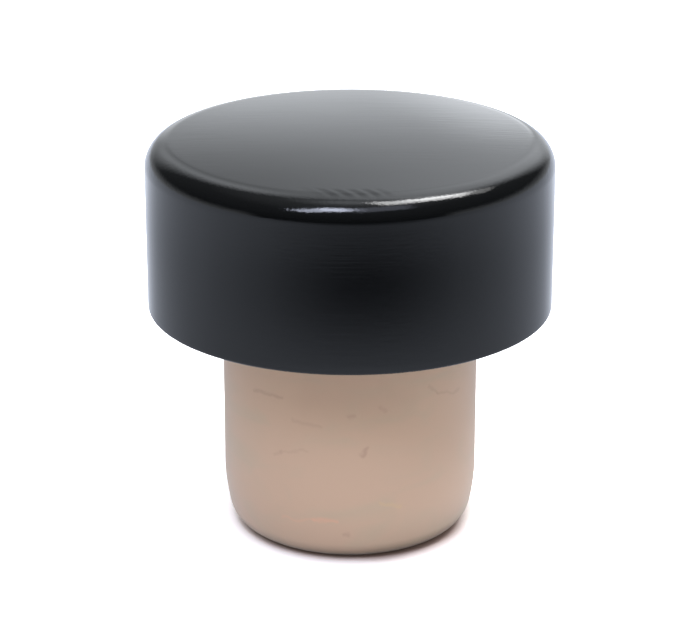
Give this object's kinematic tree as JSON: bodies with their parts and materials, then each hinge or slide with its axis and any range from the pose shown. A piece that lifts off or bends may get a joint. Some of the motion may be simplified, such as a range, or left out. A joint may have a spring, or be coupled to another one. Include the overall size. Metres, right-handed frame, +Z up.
{
  "type": "wooden bottle stopper",
  "caption": "Bar-top bottle stopper: a low turned cap of black lacquered wood on a plain cylindrical shank of synthetic cork that plugs the neck of a bottle.",
  "frame": {"origin": "centre of the flat foot of the shank, on which the stopper stands", "axes": "+Z up along the axis that the stopper is turned about, from the shank's foot to the cap's top; X and Y are any two directions across it"},
  "size_m": [0.0308, 0.0308, 0.0309],
  "materials": {
    "lacquered_wood": "turned hardwood, stained black and clear lacquered to a satin gloss",
    "synthetic_cork": "moulded foamed elastomer in a beige cork tone, smooth and matt"
  },
  "bodies": {
    "root": {"wooden_cap": "lacquered_wood", "cork_shank": "synthetic_cork"}
  },
  "joints": []
}
